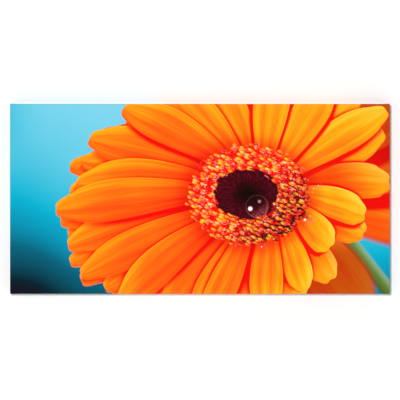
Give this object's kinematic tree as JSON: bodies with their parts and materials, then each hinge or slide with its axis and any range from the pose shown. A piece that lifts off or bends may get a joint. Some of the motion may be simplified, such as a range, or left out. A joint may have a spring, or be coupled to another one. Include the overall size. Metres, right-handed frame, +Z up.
{
  "type": "stretched canvas picture",
  "caption": "Wide wall picture: printed canvas wrapped round a braced softwood stretcher frame, stapled behind, with a sawtooth hanger and wall bumpers.",
  "frame": {"origin": "the hanging point: the middle notch of the sawtooth hanger, on the plane of the wall", "axes": "+X to the right of a viewer facing the picture, +Y into the wall, +Z up; the picture faces -Y"},
  "size_m": [0.8128, 0.041, 0.4064],
  "materials": {
    "canvas_print": "woven canvas, primed white and printed, satin",
    "pine": "planed softwood, unfinished",
    "key_wood": "sawn softwood, unfinished",
    "staple_steel": "galvanised wire",
    "hanger_steel": "zinc-plated pressed steel",
    "bumper_rubber": "matt moulded rubber"
  },
  "bodies": {
    "root": {"canvas": "canvas_print", "stretcher_bar_bottom": "pine", "stretcher_bar_right": "pine", "stretcher_bar_top": "pine", "stretcher_bar_left": "pine", "centre_brace": "pine", "corner_key_bottom_left": "key_wood", "corner_key_bottom_right": "key_wood", "corner_key_right_bottom": "key_wood", "corner_key_right_top": "key_wood", "corner_key_top_right": "key_wood", "corner_key_top_left": "key_wood", "corner_key_left_top": "key_wood", "corner_key_left_bottom": "key_wood", "staple_bottom_1": "staple_steel", "staple_bottom_2": "staple_steel", "staple_bottom_3": "staple_steel", "staple_bottom_4": "staple_steel", "staple_bottom_5": "staple_steel", "staple_bottom_6": "staple_steel", "staple_bottom_7": "staple_steel", "staple_bottom_8": "staple_steel", "staple_bottom_9": "staple_steel", "staple_bottom_10": "staple_steel", "staple_right_1": "staple_steel", "staple_right_2": "staple_steel", "staple_right_3": "staple_steel", "staple_right_4": "staple_steel", "staple_right_5": "staple_steel", "staple_top_1": "staple_steel", "staple_top_2": "staple_steel", "staple_top_3": "staple_steel", "staple_top_4": "staple_steel", "staple_top_5": "staple_steel", "staple_top_6": "staple_steel", "staple_top_7": "staple_steel", "staple_top_8": "staple_steel", "staple_top_9": "staple_steel", "staple_top_10": "staple_steel", "staple_left_1": "staple_steel", "staple_left_2": "staple_steel", "staple_left_3": "staple_steel", "staple_left_4": "staple_steel", "staple_left_5": "staple_steel", "sawtooth_hanger": "hanger_steel", "hanger_nail_left": "hanger_steel", "hanger_nail_right": "hanger_steel", "wall_bumper_left": "bumper_rubber", "wall_bumper_right": "bumper_rubber"}
  },
  "joints": []
}
